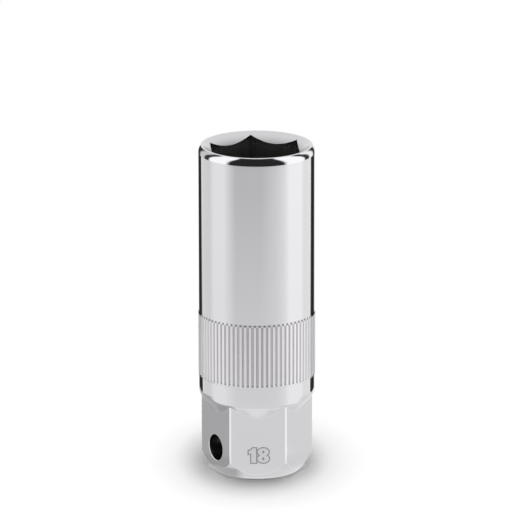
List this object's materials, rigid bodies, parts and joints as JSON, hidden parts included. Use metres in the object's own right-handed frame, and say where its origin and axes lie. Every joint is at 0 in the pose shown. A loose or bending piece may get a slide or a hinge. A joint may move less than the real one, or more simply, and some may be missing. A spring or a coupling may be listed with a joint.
{
  "type": "spark plug socket",
  "caption": "Deep chrome-plated socket for spark plugs, with a hexagonal mouth, a knurled grip band, a spanner hexagon, a square drive and a rubber insert that holds the plug.",
  "frame": {"origin": "on the axis, in the drive face that the socket stands on", "axes": "+Z along the axis, from the drive face to the mouth; -X out of the cross hole in the drive end"},
  "size_m": [0.0242, 0.0242, 0.069],
  "materials": {
    "chrome_steel": "polished chrome plate on chrome vanadium steel",
    "black_rubber": "moulded, matt"
  },
  "bodies": {
    "root": {"socket_body": "chrome_steel", "rubber_insert": "black_rubber"}
  },
  "joints": []
}
